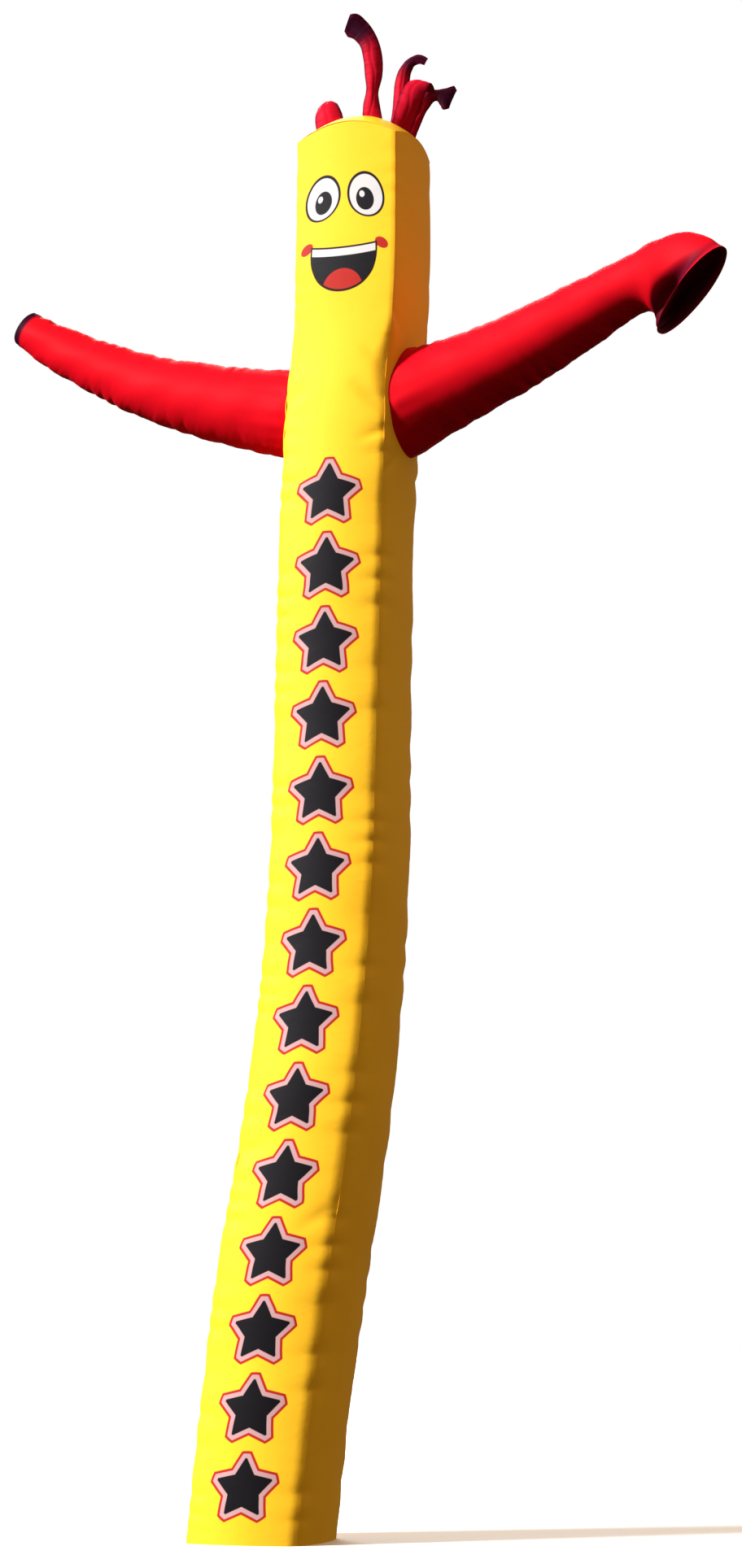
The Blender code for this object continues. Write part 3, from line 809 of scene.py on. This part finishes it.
def arm_rings(stations, quarter, angles):
    """Rings of points on a sleeve: an ellipse across the arm at each station. The first lies on
    the panel, and the next ones turn from its plane to square, sliding along the arm."""
    along = np.linspace(0, stations[-1, 0], 400)
    outward = 1 if quarter == RIGHT else -1
    heading = np.radians(smooth(along, stations, 1))
    rise = np.radians(smooth(along, stations, 2))
    ahead = np.stack([outward * np.cos(heading) * np.cos(rise),
                      -np.sin(heading) * np.cos(rise), np.sin(rise)], -1)
    height = ARM_SEAM_HEIGHT[quarter]
    out = smooth(height, TUBE, 2) * (1 + smooth(height, TUBE, 3))
    start = in_tube(quarter, np.array(outward * -ARM_SEAM_FORWARD), out, height)
    step = along[1] - along[0]
    middle = start + np.cumsum(ahead, axis=0) * step - ahead * step / 2
    at = np.linspace(0, along[-1], ARM_RINGS + 1)
    centre = np.stack([np.interp(at, along, middle[:, k]) for k in range(3)], -1)
    forward = np.stack([np.interp(at, along, ahead[:, k]) for k in range(3)], -1)
    forward /= np.linalg.norm(forward, axis=1, keepdims=True)
    level = np.cross(forward, (0.0, 0.0, 1.0))
    level /= np.linalg.norm(level, axis=1, keepdims=True)
    level *= np.where(level[:, 1:2] > 0, -1, 1)
    up = np.cross(level, forward)
    up *= np.where(up[:, 2:3] < 0, -1, 1)
    grow = arm_relief(at[:, None], angles[None, :], quarter)
    tall = smooth(at, stations, 3)[:, None] + grow
    deep = smooth(at, stations, 4)[:, None] + grow
    offset = (level[:, None] * (deep * np.cos(angles))[..., None]
              + up[:, None] * (tall * np.sin(angles))[..., None])
    slant = offset[..., 0] / forward[:, :1] * np.clip(1 - at / ARM_TURN, 0, 1)[:, None]
    rings = centre[:, None] + offset - forward[:, None] * slant[..., None]
    return slide_to_panel(rings, forward[0], quarter, at)


def arm_relief(at, angles, quarter):
    """How far the cloth stands off its ellipse: scalloped along the top and bottom seams, with
    puckers beside them, gathered in folds round the root, and folded in behind the right
    hand's rolled rim."""
    depth, spacing, reach = ARM_SEAM
    pucker, top = ARM_PUCKERS
    total = 0
    for side, seed in ((1, 60), (-1, 64)):
        gap = np.abs(np.arcsin(np.clip(np.sin(angles) * side, -1, 1)) - np.pi / 2) * ARM_RADIUS
        waves = scallops(at, spacing, seed + quarter)
        rise = gap / top * np.exp(1 - gap / top)
        total = total + depth * (waves - 0.7) * np.exp(-gap / reach)
        total = total + pucker * rise * (waves - 0.5 + 0.5 * drift(at + 0.4 * gap, 0.043, seed))
    height, length, start = ARM_GATHERS
    folds = np.exp(-at / length) * (1 - np.exp(-at / start))
    total = total + height * folds * drift(angles * 0.15, 0.083, 68 + quarter)
    total = total + ARM_SLACK[0] * drift(at + 0.12 * np.sin(angles), ARM_SLACK[1], 70 + quarter)
    if quarter == RIGHT:
        rim = ARM_RIGHT[-1, 0] - at
        total = total - hand_fold(rim, angles) + HEM_ROLL[0] * np.exp(-(rim / HEM_ROLL[1]) ** 2)
    return total * np.clip(at / 0.02, 0, 1)


def hand_fold(rim, angles):
    """How deep the right hand is folded in at a distance behind its rim."""
    turn = np.angle(np.exp(1j * angles))
    low = np.clip(FOLD_TOP - turn, 0, 2)
    behind = rim - FOLD_BACK[0] - FOLD_BACK[1] * low
    fold = np.exp(-(behind / (FOLD_WIDTH[0] + FOLD_WIDTH[1] * low)) ** 2)
    middle, reach = FOLD_TURN
    return HAND_FOLD * fold * np.exp(-((turn - middle) / reach) ** 2) * np.clip(rim / FOLD_RIM, 0, 1)


def slide_to_panel(rings, ahead, quarter, at):
    """Moves the first rings along the arm until the root lies on the side panel, the shift
    fading out over a few centimetres."""
    root = rings[0].copy()
    for _ in range(12):
        height = root[:, 2]
        angle = quarter * np.pi / 2 + np.radians(smooth(height, TUBE, 4))
        beside = root[:, 0] - smooth(height, TUBE, 1)
        across = beside * np.cos(angle) + root[:, 1] * np.sin(angle)
        out = beside * np.sin(angle) - root[:, 1] * np.cos(angle)
        edge = panel_profile(across, height, quarter)[2]
        face = panel_profile(np.clip(across / edge, -1, 1), height, quarter)[1]
        gap = face - ROOT_GAP - out
        root = root + ahead * (gap / (ahead[0] * np.sin(angle) - ahead[1] * np.cos(angle)))[:, None]
    fade = np.exp(-at / ROOT_FADE)[:, None, None]
    return rings + (root - rings[0])[None] * fade


RED = (0.66, 0.003, 0.011)
DEEP_RED = (0.60, 0.002, 0.009)
RED_THREAD = (0.45, 0.002, 0.008)
TIP = (0.030, 0.002, 0.012)

# The dark ends of the sleeves, as distances before the rim. On the right hand a narrow dark band at the
# rim is widened over the hand's underside and the fold behind the rim as painted shade.
LEFT_DARK = (0.020, 0.032)  # full, and none
# RIGHT_DARK: what the underside adds is painted shade.
RIGHT_DARK = (0.018, 0.155, 1.2)  # half dark on top, what the underside adds, its power
RIGHT_SOFT = 0.028  # half of the way from full to none
RIGHT_MOST = 0.90
# The lighter rolled rim is a painted highlight.
HEM_HIGHLIGHT = (0.7, 0.010)  # how much lighter the rolled rim is, and its width


def dark_end(tree, cloth, base):
    """Darkens the sleeves' open ends, on the right hand partly as painted shade with a painted
    highlight on its rim, and on the inside faces as painted shade.
    """
    return mixed(tree, stored(tree, "end"), base, TIP)


def end_shade(at, angles, quarter):
    """How dark a sleeve's cloth is near its open end. The right one's turns dark further back
    on the hand's underside than on its top, as painted shade there and over the fold behind its rim,
    and its rolled rim is lighter, a painted highlight."""
    if quarter == LEFT:
        full, none = LEFT_DARK
        rim = (ARM_LEFT[-1, 0] - at)[:, None]
        return np.clip((none - rim) / (none - full), 0, 1) + 0 * angles
    rim = (ARM_RIGHT[-1, 0] - at)[:, None]
    least, added, power = RIGHT_DARK
    reach = least + added * ((1 - np.sin(angles)) / 2) ** power
    shade = np.clip((reach + RIGHT_SOFT - rim) / (2 * RIGHT_SOFT), 0, 1)
    shade = RIGHT_MOST * shade ** 2 * (3 - 2 * shade)
    return shade * (1 - HEM_HIGHLIGHT[0] * np.exp(-(rim / HEM_HIGHLIGHT[1]) ** 2))


red_cloth = cloth_material("red_cloth", RED, DEEP_RED, RED_THREAD, dark_end, gloss=0.03)
# The sleeves' inside faces: a darker copy of the red cloth, painted shade; dark_end darkens them more
# near the open ends, painted shade too.
shaded_red_inside = cloth_material("shaded_red_inside", (0.50, 0.003, 0.012), (0.42, 0.002, 0.010), RED_THREAD,
                            dark_end)


def make_arm(name, stations, quarter):
    """An arm's front and back halves, each cut as a strip that tapers or widens to its end."""
    length = stations[-1, 0]
    for half, first in (("_front", -np.pi / 2), ("_back", np.pi / 2)):
        angles = np.linspace(first, first + np.pi, ARM_COLUMNS + 1)
        if quarter == RIGHT:
            angles = angles[::-1]
        mesh = grid_mesh(name + half, arm_rings(stations, quarter, angles))
        at = np.linspace(0, length, ARM_RINGS + 1)
        store_on_points(mesh, "end", end_shade(at, angles, quarter))
        sheet_piece(name + half, mesh, [red_cloth, shaded_red_inside])


make_arm("arm_left", ARM_LEFT, LEFT)
make_arm("arm_right", ARM_RIGHT, RIGHT)


# ------------------------------
# The hair. Five strips of the arms' nylon, sewn to the crown by one end. The air that leaks
# past them stands them up; each curls over its width and bends over at the top, and their free
# ends are darker.

# Each strip runs from its seam through these points, as in the solids: place, then its width,
# its turn in degrees about its own length (0 faces -Y) and its curl as a share of half its width
HAIR = {
    "hair_tall": [
        # x      y      z      width  turn   curl
        (0.436, -0.085, 5.038, 0.074,  10.0, 0.20),
        (0.433, -0.085, 5.095, 0.060,  15.0, 0.50),
        (0.435, -0.083, 5.140, 0.046,  30.0, 0.60),
        (0.440, -0.082, 5.205, 0.064,  20.0, 0.50),
        (0.437, -0.084, 5.275, 0.070,  20.0, 0.40),
        (0.422, -0.090, 5.334, 0.070,  10.0, 0.30),
        (0.392, -0.101, 5.377, 0.080,   0.0, 0.20),
        (0.365, -0.111, 5.396, 0.088, -10.0, 0.10),
        (0.350, -0.116, 5.403, 0.066, -10.0, 0.10),
    ],
    "hair_wide": [
        (0.534, -0.052, 5.000, 0.078,  45.0, 0.20),
        (0.553, -0.050, 5.060, 0.084,  35.0, 0.35),
        (0.572, -0.045, 5.115, 0.084,  22.0, 0.35),
        (0.586, -0.037, 5.155, 0.082,   8.0, 0.30),
        (0.597, -0.018, 5.182, 0.080,  -5.0, 0.20),
        (0.603,  0.012, 5.180, 0.076, -10.0, 0.15),
        (0.605,  0.036, 5.160, 0.070, -10.0, 0.10),
    ],
    "hair_curl": [
        (0.478,  0.060, 5.050, 0.054,  10.0, 0.20),
        (0.490,  0.060, 5.110, 0.056,  15.0, 0.50),
        (0.495,  0.060, 5.165, 0.056,  20.0, 0.60),
        (0.499,  0.062, 5.220, 0.054,  20.0, 0.60),
        (0.510,  0.066, 5.266, 0.046,  15.0, 0.55),
        (0.535,  0.072, 5.299, 0.040,   5.0, 0.50),
        (0.562,  0.079, 5.306, 0.042,   0.0, 0.30),
        (0.584,  0.085, 5.296, 0.032,   0.0, 0.30),
    ],
    "hair_fork": [
        (0.488,  0.120, 5.010, 0.060,  20.0, 0.20),
        (0.518,  0.126, 5.085, 0.056,  20.0, 0.40),
        (0.552,  0.130, 5.150, 0.054,  15.0, 0.45),
        (0.586,  0.135, 5.182, 0.050,   8.0, 0.45),
        (0.610,  0.140, 5.184, 0.048,   4.0, 0.40),
        (0.632,  0.145, 5.178, 0.080,   0.0, 0.30),
        (0.648,  0.148, 5.172, 0.106,   0.0, 0.20),
        (0.664,  0.151, 5.166, 0.080,   0.0, 0.15),
    ],
    "hair_stub": [
        (0.250,  0.010, 5.030, 0.100,   5.0, 0.20),
        (0.234,  0.006, 5.085, 0.104,   8.0, 0.35),
        (0.224,  0.018, 5.135, 0.086,  10.0, 0.45),
        (0.218,  0.050, 5.165, 0.062,  10.0, 0.50),
        (0.210,  0.092, 5.140, 0.084,  10.0, 0.40),
        (0.200,  0.125, 5.090, 0.096,  10.0, 0.25),
        (0.194,  0.140, 5.050, 0.094,  10.0, 0.10),
    ],
}
HAIR_ROWS = 90
HAIR_COLUMNS = 18
HAIR_FLUTTER = ((0.0022, 0.075), (0.0014, 0.031))  # slow and quick: height, spacing
HAIR_CREASE = (0.0020, 0.14)  # depth, and half width as a share of half the strip's
HAIR_GAP = 0.0002  # over the crown


def hair_points(points, seed):
    """A strip along a curve through the table's points, its middle raised over its edges by its
    curl, with a flutter along its edges and a fine crease down its length."""
    steps = np.linalg.norm(np.diff(points[:, :3], axis=0), axis=1)
    table = np.column_stack([np.concatenate([[0], np.cumsum(steps)]), points])
    at = np.linspace(0, table[-1, 0], HAIR_ROWS + 1)
    middle = np.stack([smooth(at, table, k) for k in (1, 2, 3)], -1)
    ahead = np.gradient(middle, at, axis=0)
    ahead /= np.linalg.norm(ahead, axis=1, keepdims=True)
    carried = np.array((1.0, 0.0, 0.0))
    level = []
    for direction in ahead:
        carried = carried - direction * np.dot(direction, carried)
        carried = carried / np.linalg.norm(carried)
        level.append(carried)
    level = np.array(level)
    turn = np.radians(smooth(at, table, 5))[:, None]
    across = level * np.cos(turn) + np.cross(ahead, level) * np.sin(turn)
    normal = np.cross(across, ahead)
    half = smooth(at, table, 4)[:, None] / 2
    share = np.linspace(-1, 1, HAIR_COLUMNS + 1)[None, :]
    slow, quick = HAIR_FLUTTER
    flutter = slow[0] * drift(at[:, None] + 0.02 * share, slow[1], seed) * share ** 2
    flutter = flutter + quick[0] * drift(at[:, None], quick[1], seed + 9) * np.abs(share)
    raised = half * smooth(at, table, 6)[:, None] * (1 - share ** 2) + flutter
    depth, width = HAIR_CREASE
    beside = share - 0.3 * drift(at[:, None], 0.2, seed + 4)
    raised = raised - depth * np.exp(-(beside / width) ** 2)
    strip = (middle[:, None] + across[:, None] * (half * share)[..., None]
             + normal[:, None] * raised[..., None])
    return drop_to_crown(strip, at)


def drop_to_crown(strip, at):
    """Lowers or lifts the first points of a strip onto the crown, the shift fading along it."""
    half = half_width(CORNER_HEIGHT)[0]
    swell = smooth(CORNER_HEIGHT, TUBE, 3)
    x = (strip[0, :, 0] - smooth(CORNER_HEIGHT, TUBE, 1)) / half
    y = strip[0, :, 1] / half
    u, v = x, y
    for _ in range(6):
        u, v = x / (1 + swell * (1 - v ** 2)), y / (1 + swell * (1 - u ** 2))
    shift = crown_height(u, v) + HAIR_GAP - strip[0, :, 2]
    strip[..., 2] += shift[None, :] * np.exp(-at / 0.012)[:, None]
    return strip


CRIMSON = (0.52, 0.005, 0.022)
DEEP_CRIMSON = (0.40, 0.003, 0.018)
# A darker colour along a strip's edges.
EDGE_DARK = (0.085, 0.002, 0.022)
EDGE_REACH = (0.001, 0.013)  # from a strip's edge
EDGE_SHARE = 0.85

# Where each strip turns dark: from and to, as shares of its length
TIPS = {"hair_tall": (0.60, 0.84), "hair_wide": (0.70, 1.20), "hair_curl": (0.52, 0.80),
        "hair_fork": (0.40, 0.85), "hair_stub": (0.90, 1.40)}


def streamer_darkening(tree, cloth, base):
    """Darkens a strip along its edges and towards its free end."""
    edge = between(tree, stored(tree, "seam"), *EDGE_REACH, EDGE_SHARE, 0.0)
    base = mixed(tree, edge, base, EDGE_DARK)
    return mixed(tree, between(tree, stored(tree, "tip"), 0.0, 1.0), base, TIP)


hair_cloth = cloth_material("hair_cloth", CRIMSON, DEEP_CRIMSON, RED_THREAD, streamer_darkening, 0.0008, 0.03)
# The strips' undersides: a darker copy of the hair cloth, painted shade.
shaded_hair_inside = cloth_material("shaded_hair_inside", (0.26, 0.003, 0.014), (0.20, 0.002, 0.012), RED_THREAD,
                             streamer_darkening, 0.0008, 0.03)

for seed, (name, table) in enumerate(HAIR.items()):
    points = np.array(table)
    mesh = grid_mesh(name, hair_points(points, 80 + seed))
    start, end = TIPS[name]
    share = np.repeat(np.linspace(0, 1, HAIR_ROWS + 1), HAIR_COLUMNS + 1)
    store_on_points(mesh, "tip", (share - start) / (end - start))
    sheet_piece(name, mesh, [hair_cloth, shaded_hair_inside])
